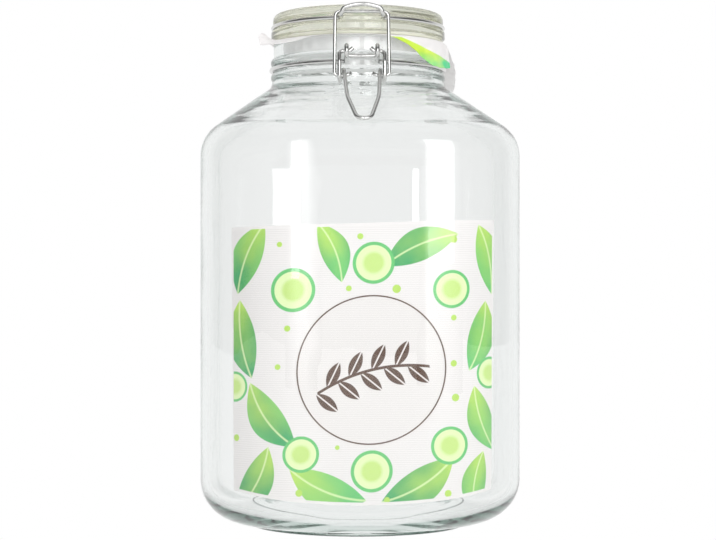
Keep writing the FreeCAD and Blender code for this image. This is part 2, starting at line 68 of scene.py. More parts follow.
# %% [markdown]
# ## Camera
# Near by, a camera would see the lid from above and the foot bulge. It stands a metre away instead, level
# and a little below half the jar's height, with a long lens, so that upright edges stay upright. A small
# shift of the lens frames the jar without tilting the camera. It is turned two degrees, because the clip
# doesn't sit quite in front.
#
# Light goes back and forth in thick glass. Where a path runs out of bounces it ends in black, which shows
# as dark bands in the shoulder and the foot. The limit is set far above what a path needs, and few paths go
# that far.

# %% Camera
AWAY, HEIGHT, TURN = 1.060, 0.134, math.radians(2.2)
SENSOR, LENS, SHIFT = 36, 94.0223, 0.022346
BOUNCES = 400

camera_data = bpy.data.cameras.new("camera")
camera_data.sensor_width = SENSOR
camera_data.lens = LENS
camera_data.shift_y = SHIFT
camera = bpy.data.objects.new("camera", camera_data)
bpy.context.scene.collection.objects.link(camera)
camera.location = (-AWAY * math.sin(TURN), -AWAY * math.cos(TURN), HEIGHT)
camera.rotation_euler = (math.pi / 2, 0, -TURN)
bpy.context.scene.camera = camera
bpy.context.scene.view_settings.view_transform = "Standard"
bpy.context.scene.cycles.max_bounces = BOUNCES
bpy.context.scene.cycles.transmission_bounces = BOUNCES
bpy.context.scene.cycles.glossy_bounces = BOUNCES
print("lens", LENS, "mm at", AWAY, "m")


# %% [markdown]
# ## Shader maths in Python
# A finish is a formula over the surface. Its nodes could be wired one by one, but then the formula is hard
# to see. One small class wraps a socket instead and overloads the arithmetic signs, so that a formula is
# written as it is read and adds its own Math nodes. Colours go through Mix nodes, because a Math node turns
# a colour grey.

# %% Numbers by formula
def feed(tree, value, socket):
    """Links what varies to a socket, or sets the socket to a constant."""
    if isinstance(value, Value):
        tree.links.new(value.socket, socket)
    elif isinstance(value, bpy.types.NodeSocket):
        tree.links.new(value, socket)
    elif socket.type == "RGBA":
        socket.default_value = (*value, 1.0)
    else:
        socket.default_value = value


class Value:
    """A number that varies over a surface: a socket, with arithmetic."""

    def __init__(self, tree, socket):
        self.tree = tree
        self.socket = socket

    def math(self, operation, *others):
        node = self.tree.nodes.new("ShaderNodeMath")
        node.operation = operation
        for value, socket in zip((self, *others), node.inputs):
            feed(self.tree, value, socket)
        return Value(self.tree, node.outputs[0])

    def __add__(self, other):
        return self.math("ADD", other)

    def __sub__(self, other):
        return self.math("SUBTRACT", other)

    def __rsub__(self, other):
        return self * -1 + other

    def __mul__(self, other):
        return self.math("MULTIPLY", other)

    def __truediv__(self, other):
        return self.math("DIVIDE", other)

    def __abs__(self):
        return self.math("ABSOLUTE")

    __radd__ = __add__
    __rmul__ = __mul__

    def root(self):
        return self.math("SQRT")

    def most(self, *others):
        """The largest of several numbers."""
        largest = self
        for other in others:
            largest = largest.math("MAXIMUM", other)
        return largest

    def above(self, edge, soft, low=0.0, high=1.0):
        """low under the edge and high over it, with a soft step."""
        node = self.tree.nodes.new("ShaderNodeMapRange")
        for value, socket in zip((self, edge - soft / 2, edge + soft / 2, low, high), node.inputs):
            feed(self.tree, value, socket)
        return Value(self.tree, node.outputs[0])

    def below(self, edge, soft, high=1.0):
        return self.above(edge, soft, high, 0.0)


print("numbers by formula ready")


# %% [markdown]
# ## Finishes
# Any other node comes from one method, which takes its settings first and then what its sockets are set or
# linked to. Patterns are laid out in the piece's own coordinates, so that they stay put when the piece
# moves.

# %% Node trees and materials
class Nodes:
    """A node tree that formulas are written into."""

    def __init__(self, tree):
        self.tree = tree

    def node(self, kind, settings=None, **values):
        """A node of any kind; its sockets are given by name, or by number as i0, i1 and so on."""
        node = self.tree.nodes.new("ShaderNode" + kind)
        for name, value in (settings or {}).items():
            setattr(node, name, value)
        for name, value in values.items():
            socket = int(name[1:]) if name[1:].isdigit() else name.replace("_", " ")
            feed(self.tree, value, node.inputs[socket])
        return node

    def parts(self, vector):
        """x, y and z of a vector."""
        return [Value(self.tree, output) for output in self.node("SeparateXYZ", Vector=vector).outputs]

    def place(self):
        """x, y and z of the point on the piece, in millimetres."""
        return [number * 1000 for number in self.parts(self.node("TexCoord").outputs["Object"])]

    def facing(self):
        """x, y and z of the way that the surface faces."""
        return self.parts(self.node("TexCoord").outputs["Normal"])

    def mix(self, amount, first, second):
        """The colour first where amount is 0 and second where it is 1."""
        return self.node("Mix", {"data_type": "RGBA"}, i0=amount, i6=first, i7=second).outputs[2]

    def blend(self, amount, first, second):
        """The shader first where amount is 0 and second where it is 1."""
        return self.node("MixShader", i0=amount, i1=first.outputs[0], i2=second.outputs[0])

    def noise(self, scale, detail=2.0, vector=None):
        """A cloudy pattern from 0 to 1; scale counts its cells per metre."""
        vector = vector or self.node("TexCoord").outputs["Object"]
        node = self.node("TexNoise", Vector=vector, Scale=scale, Detail=detail)
        return Value(self.tree, node.outputs["Fac"])

    def bump(self, height, strength, distance):
        return self.node("Bump", Height=height, Strength=strength, Distance=distance).outputs[0]

    def rays(self, *kinds):
        """1 for light of these kinds, such as Camera, Shadow or Glossy, and 0 for all other light."""
        path = self.node("LightPath")
        first, *others = [Value(self.tree, path.outputs[f"Is {kind} Ray"]) for kind in kinds]
        return first.most(*others)


class Finish(Nodes):
    """A material and its Principled shader."""

    def __init__(self, name, **values):
        self.name = name
        self.material = bpy.data.materials.new(name)
        self.material.use_nodes = True
        super().__init__(self.material.node_tree)
        self.shader = self.tree.nodes["Principled BSDF"]
        self.output = self.tree.nodes["Material Output"]
        self.set(**values)

    def set(self, **values):
        for name, value in values.items():
            feed(self.tree, value, self.shader.inputs[name.replace("_", " ")])

    def cover(self, shader):
        """Makes another shader the surface; the Principled one goes unless that shader mixes it in."""
        feed(self.tree, shader.outputs[0], self.output.inputs["Surface"])
        if not self.shader.outputs[0].links:
            self.tree.nodes.remove(self.shader)


print("finishes ready")


# %% Dressing a piece
def dress(piece, finish):
    """Gives a piece one finish all over."""
    piece.data.materials.clear()
    piece.data.materials.append(finish.material)


def hand_in(piece, finish, node, body):
    """Dresses a piece, puts it in place of its CAD node and lets it ride on its body."""
    dress(piece, finish)
    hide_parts(node)
    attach(piece, body)
    print(piece.name, len(piece.data.polygons), "faces, rides on", body)


def linear(red, green, blue):
    """A colour given by its screen values, as the shader wants it."""
    return tuple((value / 255 / 12.92) if value <= 10 else ((value / 255 + 0.055) / 1.055) ** 2.4
                 for value in (red, green, blue))


print("mid grey is", [round(part, 3) for part in linear(128, 128, 128)])

# %% [markdown]
# ## Bright wire
# Drawn steel wire with a bright plating. Metal is mostly its reflections, so a plain light grey does as its
# colour. A cloudy haze blurs the reflection in places, as handling does, and a fine grain breaks it up.

# %% Wire finish
wire_finish = Finish("bright_wire", Metallic=1.0, Base_Color=(0.66, 0.66, 0.65))
haze = wire_finish.noise(420.0, 3.0)
grain = wire_finish.noise(2600.0)
wire_finish.set(Roughness=haze * 0.12 + 0.1, Normal=wire_finish.bump(grain, 0.08, 0.0002))
print("wire finish ready")


# %% [markdown]
# ## Clear glass
# Pressed glass has a faint green that shows only where the light goes a long way through it. A green
# surface would show it everywhere, so the tint is an absorption inside. Lamps can't find their way through
# two curved walls in the few samples of a render, so light that only lights or shades something passes
# straight through, as it nearly does in a thin wall. The lid is the same glass, a little warmer.

# %% Glass finish
def glass_finish(name, face, tint, density, relief=None):
    """Clear glass with the colour of its face, the tint of its inside and, if it is uneven, its relief."""
    finish = Finish(name)
    glass = finish.node("BsdfGlass", Color=face, Roughness=0.0, IOR=1.52)
    if relief:
        feed(finish.tree, finish.bump(relief(finish), 1.0, 1.0), glass.inputs["Normal"])
    clear = finish.node("BsdfTransparent", Color=(0.995, 0.995, 0.995))
    passing = finish.rays("Shadow", "Diffuse")
    finish.cover(finish.blend(passing, glass, clear))
    inside = finish.node("VolumeAbsorption", Color=tint, Density=density)
    feed(finish.tree, inside.outputs[0], finish.output.inputs["Volume"])
    return finish


def ripples(finish):
    """Relief of the jar in metres: faint ripples, and lying waves in a band under the neck."""
    x, y, z = finish.place()
    flattened = finish.node("Mapping", Vector=finish.node("TexCoord").outputs["Object"], Scale=(1, 1, 5))
    band = z.above(226, 8) * z.below(245, 6)
    return finish.noise(38.0, 1.0) * 0.0001 + band * finish.noise(42.0, 1.0, flattened.outputs[0]) * 0.0002


jar_finish = glass_finish("clear_glass", face=(0.99, 0.987, 0.988), tint=(0.58, 0.7, 0.655), density=27.0,
                          relief=ripples)
lid_finish = glass_finish("lid_glass", face=(0.99, 0.988, 0.982), tint=(0.62, 0.64, 0.5), density=9.0)
print("glass finishes ready")


# %% [markdown]
# ## Even skins round an axis
# Jar and lid are each one closed skin: from the middle of the underside up the outside and back to the
# middle. They could be taken from the CAD mesh, but its loose triangles of many lengths make streaks in
# clear glass. A plain grid is laid round the axis instead, with a row for each point of the outline. A row
# is a rounded square with a half width, its reach, and half a straight run, its flat. Where the flat is
# nothing, the row is a circle.

# %% Rows of a skin
def arc(centre, radius, start, end, steps):
    """Points (reach, up) of an arc, in degrees anticlockwise from outwards."""
    angles = [math.radians(start + (end - start) * step / steps) for step in range(steps + 1)]
    return [(centre[0] + radius * math.cos(angle), centre[1] + radius * math.sin(angle)) for angle in angles]


def circles(points, flat=0.0):
    """Rows (reach, flat, up) from points (reach, up), as good as round."""
    return [(reach, flat, up) for reach, up in points]


def distance(reach, flat, azimuth):
    """From the axis to a rounded square."""
    across, along = abs(math.cos(azimuth)), abs(math.sin(azimuth))
    if reach * min(across, along) <= flat * max(across, along):
        return reach / max(across, along)
    bend = reach - flat
    return flat * (across + along) + math.sqrt(bend ** 2 - flat ** 2 * (across - along) ** 2)


# %% A skin from its rows
MERGE = 0.000002


def turned_about(out, up, azimuth):
    """The place that lies this far out of the axis and this high."""
    return out * math.cos(azimuth), out * math.sin(azimuth), up


def grid(name, columns, rows, places):
    """A grid of so many faces each way, its corners at the places, its doubles merged and faces outwards."""
    bpy.ops.mesh.primitive_grid_add(x_subdivisions=columns, y_subdivisions=rows, size=1, location=(0, 0, 0))
    piece = bpy.context.object
    piece.name = name
    piece.data.vertices.foreach_set("co", [number * MM for place in places for number in place])
    piece.data.update()
    bpy.ops.object.mode_set(mode="EDIT")
    bpy.ops.mesh.select_all(action="SELECT")
    bpy.ops.mesh.remove_doubles(threshold=MERGE)
    bpy.ops.mesh.normals_make_consistent(inside=False)
    bpy.ops.object.mode_set(mode="OBJECT")
    return piece


def skin(name, rows, around):
    """A closed skin from rows in millimetres; its first and last row close on the axis."""
    azimuths = [2 * math.pi * (step % around) / around for step in range(around + 1)]
    places = [turned_about(distance(reach, flat, azimuth), up, azimuth)
              for reach, flat, up in rows for azimuth in azimuths]
    piece = grid(name, around, len(rows) - 1, places)
    bpy.ops.object.shade_smooth_by_angle(angle=math.radians(35))
    return piece


print("a row of reach 1 and flat 1 lies", round(distance(1, 1, math.pi / 4), 3), "out at its corner")

# %% [markdown]
# ## The glass jar
# The body is a square with round corners, which grows round towards the foot and the neck. It is one piece
# of glass with its inside, which follows the outside at the thickness of the wall. The inside of the
# shoulder falls a little less steeply than the outside, so that the glass grows thick towards the neck,
# which gives the soft dark lines there. The rows outside come first, from the foot up, and then those
# inside, from the mouth down.

# %% Sizes of the jar
HALF, RIM = box_mm("glass_jar")[1][1:]
FLAT = 32.5                        # half the straight run of each side
WALL, FLOOR = 4.0, 8.0             # thickness of the wall and the bottom
HEEL, HEEL_UP = 27.0, 29.0         # round from the wall to the foot, and the height of its centre
HEEL_ANGLE = 88                    # how far round it goes, in degrees
SHOULDER = 22.0                    # round from the wall to the shoulder
SLOPE, INNER_SLOPE = math.radians(38), math.radians(36.5)
ROOT = 246.0                       # height where the shoulder's slope meets the neck
ROOT_BEND, ROOT_CLEAR = 5.6, 3.4   # round between them, and how far from it the last row of the slope stays
INNER_BEND, INNER_CLEAR = 6.0, 3.6     # the same inside
OVERRUN, INNER_OVERRUN = 2.0, 1.2  # how far the slopes are worked out past the neck and the mouth
NECK, BASE, BORE = 47.7, 48.7, 42.7    # radius of the neck, of its root and of the mouth
GROOVE, GROOVE_HALF = 255.6, 1.7   # the wire's groove: its middle and half its width
BEAD, BEAD_OUT = 2.6, 1.7          # round of the two beads, and how far they stand out
LIP = 1.5                          # round of the rim
KNEE = HALF - SHOULDER * (1 - math.sin(SLOPE))
WALL_TOP = ROOT - (KNEE - BASE) * math.tan(SLOPE) - SHOULDER * math.cos(SLOPE)
HEEL_STEPS, WALL_STEPS, KNEE_STEPS, SLOPE_STEPS = 22, 10, 16, 12
print("half width", HALF, "rim", RIM, "straight wall up to", round(WALL_TOP, 2))


# %% The squared part
def squared(share):
    """Half the straight run of a row: all of it in the wall, and hardly any at the foot and the neck."""
    return FLAT * (0.02 + 0.98 * share)


def shell(inset, heel, end, slope):
    """Rows from the foot, round the heel and over the shoulder to a reach of end, moved in by inset."""
    half = HALF - inset
    rows = []
    for step in range(HEEL_STEPS + 1):
        angle = math.radians(HEEL_ANGLE * (1 - step / HEEL_STEPS))
        share = math.cos(angle)
        rows.append((half - heel + heel * share, squared(share), HEEL_UP - heel * math.sin(angle)))
    for step in range(1, WALL_STEPS):
        rows.append((half, FLAT, HEEL_UP + (WALL_TOP - HEEL_UP) * step / WALL_STEPS))
    bend = SHOULDER - inset
    for step in range(KNEE_STEPS + 1):
        angle = (math.pi / 2 - slope) * step / KNEE_STEPS
        reach = half - bend + bend * math.cos(angle)
        rows.append((reach, squared((reach - end) / (half - end)), WALL_TOP + bend * math.sin(angle)))
    knee, _, knee_up = rows[-1]
    for step in range(1, SLOPE_STEPS + 1):
        reach = knee + (end - knee) * step / SLOPE_STEPS
        up = knee_up + (knee - reach) * math.tan(slope)
        rows.append((reach, squared((reach - end) / (half - end)), up))
    return rows


def up_to_root(rows, reach):
    """The rows without those of the shoulder that lie further in than reach, where the soft root begins."""
    return [row for row in rows if row[0] > reach or row[2] < WALL_TOP]


def neck_root(radius, meet, bend, slope):
    """The soft root between a slope and an upright of this radius, which would meet at this height."""
    setback = bend * math.tan((math.pi / 2 - slope) / 2)
    return circles(arc((radius + bend, meet + setback), bend, 270 - math.degrees(slope), 180, 8), 0.3)


outside = shell(0, HEEL, BASE - OVERRUN, SLOPE)
inside = shell(WALL, HEEL_UP - FLOOR, BORE - INNER_OVERRUN, INNER_SLOPE)
inner_root = inside[-1][2] - INNER_OVERRUN * math.tan(INNER_SLOPE)
print("rows outside and inside:", len(outside), len(inside))

# %% The jar's skin
# The foot is hollow in the middle, then comes the ring that the jar stands on, and a step up to the heel.
foot = [(0, 1.8), (20, 1.7), (40, 1.6), (50.5, 1.5), (51.6, 1.0), (53.3, 0.1), (54.0, 0), (60.3, 0)]
foot += arc((60.5, 1.0), 1.0, -75, 0, 4) + [(61.5, 1.5)]
# Two beads on the neck leave the wire's groove between them, and the rim above them is rounded.
bead_half = math.sqrt(BEAD ** 2 - (BEAD - BEAD_OUT) ** 2)
swing = math.degrees(math.asin(bead_half / BEAD))
neck = arc((NECK + BEAD_OUT - BEAD, GROOVE - GROOVE_HALF - bead_half), BEAD, -42, swing, 10)
neck += arc((NECK + BEAD_OUT - BEAD, GROOVE + GROOVE_HALF + bead_half), BEAD, -swing, swing, 12)
neck += [(NECK, 264.5), (NECK, 266.6)] + arc((NECK - LIP, RIM - LIP), LIP, 0, 90, 6)
# Inside, the mouth goes straight down, and the rows after the shoulder end in the middle of the floor.
mouth = [(44.8, RIM), (43.7, RIM - 0.12), (43.1, RIM - 0.6), (BORE, RIM - 1.7)]
mouth += [(BORE, RIM - 1.7 - step * 2.2) for step in range(1, 9)]
bottom = [(50, FLOOR), (30, FLOOR), (12, FLOOR), (0, FLOOR)]

rows = circles(foot) + up_to_root(outside, BASE + ROOT_CLEAR) + neck_root(BASE, ROOT, ROOT_BEND, SLOPE)
rows += circles(neck) + circles(mouth) + neck_root(BORE, inner_root, INNER_BEND, INNER_SLOPE)[::-1]
rows += up_to_root(inside, BORE + INNER_CLEAR)[::-1] + circles(bottom)
jar = skin("jar_skin", rows, 256)
hand_in(jar, jar_finish, "glass_jar", "jar")

# %% [markdown]
# ## The glass lid
# A pressed lid: a dished plug that hangs in the mouth, a flange on the seal, a groove for the wire and a
# rounded crown with a shallow dish on top. It is turned all over, so the same grid makes it from circles
# alone.

# %% Sizes of the lid
FLANGE, _, TOP = box_mm("glass_lid")[1]
SEAM = box_mm("gasket")[1][2] + 0.08   # underside of the flange, just clear of the seal
CROWN, PLUG = NECK + 0.4, BORE - 1.9
PLUG_FOOT = SEAM - 10
FLANGE_TOP = SEAM + 5.1
LID_GROOVE = FLANGE_TOP + GROOVE_HALF
EDGE, CROWN_EDGE, NICHE = 1.2, 3.2, 1.0    # rounds of the flange, of the crown and of the groove's corners
GROOVE_FLOOR = CROWN - 1.4


def dish(edge, level, wide, deep):
    """A shallow dish from its edge inwards: a slope this wide and deep between two soft turns."""
    turn = deep / 12
    return [(edge, level), (edge - 0.6, level + turn), (edge - wide + 0.8, level + deep - turn),
            (edge - wide, level + deep)]


print("seam", SEAM, "groove", round(LID_GROOVE, 2), "top", TOP)

# %% The lid's skin
points = [(0, PLUG_FOOT + 1.2), (20, PLUG_FOOT + 1.2)] + dish(PLUG - 5.6, PLUG_FOOT, 4.0, 1.2)[::-1]
points += [(PLUG - 3.0, PLUG_FOOT)] + arc((PLUG - 2.2, PLUG_FOOT + EDGE), EDGE, -90, 0, 5)
points += [(PLUG - 0.5, PLUG_FOOT + 5), (PLUG, SEAM), (PLUG + 3, SEAM)]
points += arc((FLANGE - EDGE, SEAM + EDGE), EDGE, -90, 0, 5)
points += arc((FLANGE - EDGE, FLANGE_TOP - EDGE), EDGE, 0, 90, 5)
points += arc((GROOVE_FLOOR + NICHE, LID_GROOVE - GROOVE_HALF + NICHE), NICHE, 270, 180, 4)
points += arc((GROOVE_FLOOR + NICHE, LID_GROOVE + GROOVE_HALF - NICHE), NICHE, 180, 90, 4)
points += arc((CROWN - EDGE, LID_GROOVE + GROOVE_HALF + EDGE), EDGE, -90, 0, 5)
points += arc((CROWN - CROWN_EDGE, TOP - CROWN_EDGE), CROWN_EDGE, 0, 90, 8)
points += [(CROWN - 6, TOP)] + dish(CROWN - 8, TOP, 3.4, -1.2) + [(25, TOP - 1.2), (0, TOP - 1.2)]
lid = skin("lid_skin", circles(points), 192)
hand_in(lid, lid_finish, "glass_lid", "lid")


# %% [markdown]
# ## Wires and seal
# Four bent wires make the hinge and the clip, and a matte rubber ring seals the lid. Their solids already
# have the true shape, but a CAD mesh is loose triangles, which shows as facets. So each is copied, and the
# copy is merged and smoothed up to a crease. The node itself stays as it is.

# %% Smooth copies of solids
def smooth_copy(node, finish, body):
    """The solid's own shape, merged and smoothed, in place of its node."""
    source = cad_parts[node]
    piece = source.copy()
    piece.data = source.data.copy()
    piece.name = node + "_skin"
    bpy.context.scene.collection.objects.link(piece)
    bpy.ops.object.select_all(action="DESELECT")
    piece.select_set(True)
    bpy.context.view_layer.objects.active = piece
    bpy.ops.object.mode_set(mode="EDIT")
    bpy.ops.mesh.select_all(action="SELECT")
    bpy.ops.mesh.remove_doubles(threshold=MERGE)
    bpy.ops.object.mode_set(mode="OBJECT")
    bpy.ops.object.shade_smooth_by_angle(angle=math.radians(32))
    hand_in(piece, finish, node, body)


for node, body in (("neck_wire", "jar"), ("lid_wire", "lid"), ("lever", "lever"), ("bail", "bail")):
    smooth_copy(node, wire_finish, body)
seal_finish = Finish("seal_rubber", Base_Color=linear(206, 206, 190), Roughness=0.5)
smooth_copy("gasket", seal_finish, "lid")


# %% [markdown]
# ## Print
# Both papers are printed. A picture file could hold the print, but then it would have one size and its own
# edges. Here each motif is a soft mask over the paper, 1 inside its outline and 0 outside, and the colours
# are laid over each other like inks on a press.

# %% Motifs
class Print(Finish):
    """A finish printed with flat motifs; colour is what has been printed so far."""

    def lay_out(self, across, up, colour):
        self.plane = self.node("CombineXYZ", X=across, Y=up).outputs[0]
        self.colour = colour

    def ink(self, amount, colour):
        self.colour = self.mix(amount, self.colour, colour)

    def turned(self, centre, degrees, long=1, wide=1):
        """Coordinates along and across a motif from its centre, which are 1 at its ends and sides."""
        motif = self.node("Mapping", {"vector_type": "TEXTURE"}, Vector=self.plane, Location=(*centre, 0),
                          Rotation=(0, 0, math.radians(degrees)), Scale=(long, wide, 1))
        return self.parts(motif.outputs[0])[:2]

    def pointed_leaf(self, centre, degrees, long, wide, bow=0.0):
        """Mask of a leaf that is pointed at both ends, with the share along it and from its bowed midrib."""
        along, aside = self.turned(centre, degrees, long, wide)
        narrowing = along.math("MULTIPLY_ADD", along, -1.0)
        rib = abs(narrowing.math("MULTIPLY_ADD", bow / wide, aside))
        return (narrowing + rib).below(0.0, 0.3 / wide), along, rib

    def out_of(self, centre):
        """Distance from a point of the print."""
        node = self.node("VectorMath", {"operation": "DISTANCE"}, i0=self.plane, i1=(*centre, 0))
        return Value(self.tree, node.outputs["Value"])

    def outer_face(self):
        """1 on faces that look away from the jar's axis, and 0 on those that look towards it."""
        x, y, z = self.place()
        face_x, face_y, face_z = self.facing()
        return (face_x * x + face_y * y).above(0, 1)


DEEP, FRESH = linear(44, 158, 92), linear(92, 190, 106)
LIME, PALE = linear(178, 216, 88), linear(222, 238, 180)
BROWN, PAPER = linear(78, 48, 30), linear(232, 227, 227)
print("inks ready")

# %% [markdown]
# ## The label inside
# A sheet of white paper stands in the jar and leans on its front wall, round both corners. It carries fine
# lines, leaves and rounds in fresh greens, and a thin brown ring with a sprig. A flat print thrown on it
# from the front would stretch at the corners, so x is unrolled first, along the paper's length.

# %% Label sizes and paper
LABEL_FOOT = box_mm("label")[0][2]
TILT = math.tan(math.radians(1.75))    # the upper edge climbs to the right
TURN_BEND = 49.8                   # radius of the paper round the jar's corners
TURN_ANGLE = math.radians(45.5)    # how far it goes round each
RISE = 10.72                       # how far the curve of the lower edge climbs up to the jar's side
BOW = (HALF ** 2 + RISE ** 2) / (2 * RISE)
LABEL_TALL, LABEL_THICK = 147, 0.3
FOOT_AWAY, LEAN = 2.45, 1.7 / 152.3    # the paper's distance from the wall at its foot, and its lean
WAVE = 0.12
LINE_PITCH = 1.15

label_finish = Print("label_paper", Roughness=0.55)
x, y, z = label_finish.place()
past = (abs(x) - FLAT).most(0.0)
across = x.math("SIGN") * (abs(x).math("MINIMUM", FLAT) + (past / TURN_BEND).math("ARCSINE") * TURN_BEND)
lines = (z * (2 * math.pi / LINE_PITCH)).math("SINE").above(0.55, 0.6, 0.0, 0.5)
ground = label_finish.mix(lines, PAPER, linear(214, 209, 208))
label_finish.lay_out(across, z - across * TILT, ground)
cloud = label_finish.noise(60.0, 3.0)
print("the lower edge is part of a circle of", round(BOW), "mm")

# %% [markdown]
# ### Leaves, rounds and dots
# They frame the middle of the label. Each leaf runs from a green to lime, is darker at its sides and has a
# pale midrib, and each round is three rings of colour. A leaf has its centre, its turn, half its length,
# half its width and its bow, and a round has its centre and its radius.

# %% Leaves
LEAVES = [
    ((-60, 150), 66, 20, 9.0, 3), ((-18, 152), 112, 17, 7.5, -3), ((30, 152), 22, 21, 8.5, 3),
    ((66, 146), 104, 19, 8.5, -3), ((-63, 108), 100, 21, 9.0, 3), ((61, 106), 74, 19, 8.5, -3),
    ((-48, 68), 126, 21, 9.0, 4), ((66, 62), 112, 19, 8.0, 3), ((-60, 34), 60, 20, 8.5, -4),
    ((-19, 31), 156, 22, 9.0, 4), ((28, 32), 30, 22, 9.0, -4), ((62, 28), 80, 17, 7.5, 3),
]
for number, leaf_shape in enumerate(LEAVES):
    mask, along, rib = label_finish.pointed_leaf(*leaf_shape)
    lit = along.math("MULTIPLY_ADD", 0.5, cloud).above(0.55, 0.9)
    tint = label_finish.mix(lit, FRESH if number % 2 else DEEP, LIME)
    tint = label_finish.mix(rib.above(0.65, 0.7, 0.0, 0.5), tint, DEEP if number % 3 else FRESH)
    tint = label_finish.mix(rib.below(0.06, 0.05, 0.7), tint, PALE)
    label_finish.ink(mask, tint)
print("leaves:", len(LEAVES))

# %% Rounds and dots
ROUNDS = [((-37, 133), 11.5), ((5, 146), 11.0), ((46, 131), 10.0), ((-70, 83), 8.0), ((69, 86), 8.5),
          ((-33, 47), 9.5), ((4, 37), 11.0), ((45, 49), 10.0)]
for centre, radius in ROUNDS:
    out = label_finish.out_of(centre)
    label_finish.ink(out.below(radius, 0.3), FRESH)
    label_finish.ink(out.below(radius * 0.84, 0.3), PALE)
    label_finish.ink(out.below(radius * 0.5, 2.0, 0.7), LIME)
DOTS = [((-44, 157), 1.4), ((-40, 113), 1.6), ((-8, 133), 1.5), ((17, 132), 2.2), ((47, 116), 1.5),
        ((-45, 93), 1.5), ((-69, 56), 1.8), ((47, 92), 1.7), ((-34, 27), 1.8), ((12, 22), 1.5),
        ((44, 24), 1.8), ((48, 74), 2.0), ((-14, 50), 1.2), ((-2, 160), 1.6), ((47, 157), 1.8)]
for centre, radius in DOTS:
    label_finish.ink(label_finish.out_of(centre).below(radius, 0.25), LIME)
print("rounds and dots:", len(ROUNDS), len(DOTS))

# %% [markdown]
# ### Ring and sprig
# A thin ring round a slightly darker ground, and a bowed stem with leaves on both sides in its middle. The
# stem is a strip along a flat parabola. The leaves start from it by turns, and all go into one mask that is
# printed at once.

# %% Ring and sprig
MIDDLE, GROUND, RING = (3.8, 90.0), 40.0, 38.8
SPRIG_TURN, STEM_HALF, STEM_BOW = 12, 30, 0.006
SPRIG_LEAF, LEAF_TURN, LEAF_AWAY = (7.6, 3.2), 52, 7.2

from_middle = label_finish.out_of(MIDDLE)
label_finish.ink(from_middle.below(GROUND, 0.25), label_finish.mix(0.12, ground, linear(206, 198, 192)))
label_finish.ink(abs(from_middle - RING).below(0.375, 0.15), BROWN)
along, aside = label_finish.turned(MIDDLE, SPRIG_TURN)
stem = abs((along * along).math("MULTIPLY_ADD", STEM_BOW, aside)).below(0.75, 0.2)
sprig = stem * abs(along).below(STEM_HALF, 0.5)
for number in range(9):
    start, side = -30.5 + 6.2 * number, 1 if number % 2 else -1
    leaf_along = start + LEAF_AWAY * math.cos(math.radians(LEAF_TURN))
    leaf_up = side * LEAF_AWAY * math.sin(math.radians(LEAF_TURN)) - STEM_BOW * start ** 2
    tilt = math.radians(SPRIG_TURN)
    centre = (MIDDLE[0] + leaf_along * math.cos(tilt) - leaf_up * math.sin(tilt),
              MIDDLE[1] + leaf_along * math.sin(tilt) + leaf_up * math.cos(tilt))
    mask, along, rib = label_finish.pointed_leaf(centre, SPRIG_TURN + side * LEAF_TURN, *SPRIG_LEAF)
    sprig = sprig.most(mask * rib.above(0.12, 0.08))
label_finish.ink(sprig, BROWN)
print("sprig ready")

# %% [markdown]
# ### Margin
# The print stops short of the edges, and the back of the sheet is bare. The lower edge is an arc, which
# keeps the paper clear of the jar's round heel, and the upper edge is straight and climbs a little to the
# right.

# %% Unprinted margin
foot_edge = (BOW ** 2 - x * x).root() * -1 + (LABEL_FOOT + BOW)
printed = (label_finish.outer_face() * abs(x).below(67.3, 0.2) * (z - foot_edge).above(1.5, 0.2)
           * (z - x * TILT).below(165.5, 0.2))
label_finish.set(Base_Color=label_finish.mix(printed, PAPER, label_finish.colour))
print("label nodes", len(label_finish.tree.nodes))


# %% [markdown]
# ### Sheet
# A bent sheet could be a plane wrapped round a form. Here the form is known, so a grid takes its places
# straight from it: flat in front, and arcs round the corners. It leans a little, with its foot further from
# the wall than its top, and has a slight wave. Solidify then gives it both faces.

# %% A sheet from its places
def sheet(name, places, columns, thick):
    """A thin sheet from rows of places in millimetres, with both of its faces."""
    piece = grid(name, columns - 1, len(places) // columns - 1, places)
    thickness = piece.modifiers.new("thickness", "SOLIDIFY")
    thickness.thickness = thick * MM
    thickness.offset = 0
    bpy.ops.object.modifier_apply(modifier=thickness.name)
    bpy.ops.object.shade_smooth_by_angle(angle=math.radians(50))
    return piece


def label_place(share_across, share_up):
    """A place of the label, from shares of its width (-1 to 1) and height (0 to 1)."""
    run = share_across * (FLAT + TURN_ANGLE * TURN_BEND)
    flat, turn = min(abs(run), FLAT), max(abs(run) - FLAT, 0) / TURN_BEND
    bend = HALF - WALL - FLAT - FOOT_AWAY + LEAN * (0.3 + LABEL_TALL * share_up)
    right = math.copysign(flat + bend * math.sin(turn), run)
    low = LABEL_FOOT + 0.05 + BOW - math.sqrt(BOW ** 2 - right ** 2)
    high = LABEL_FOOT + 0.3 + LABEL_TALL + right * TILT
    bend -= WAVE * (1 + math.sin(run * 0.11 + share_up * 2.0)) * share_up
    right = math.copysign(flat + bend * math.sin(turn), run)
    return right, -FLAT - bend * math.cos(turn), low + (high - low) * share_up


# %% Label sheet
COLUMNS, ROWS = 96, 56
places = [label_place(column / COLUMNS * 2 - 1, row / ROWS)
          for row in range(ROWS + 1) for column in range(COLUMNS + 1)]
label = sheet("label_sheet", places, COLUMNS + 1, LABEL_THICK)
hand_in(label, label_finish, "label", "jar")

# %% [markdown]
# ## The leaf under the lid
# A piece of coated paper lies over the mouth. The plug presses its middle into a cup, the lid pinches it on
# the rim, and its corners stick out. It is white, with green leaves printed in the cup and a green corner
# at the front. Thin paper lets light through. A see-through paper would show what is behind it, so a
# translucent shader passes on a share of the light instead: half where the paper hangs free, little in the
# cup, and none under the thick print of the green corner.

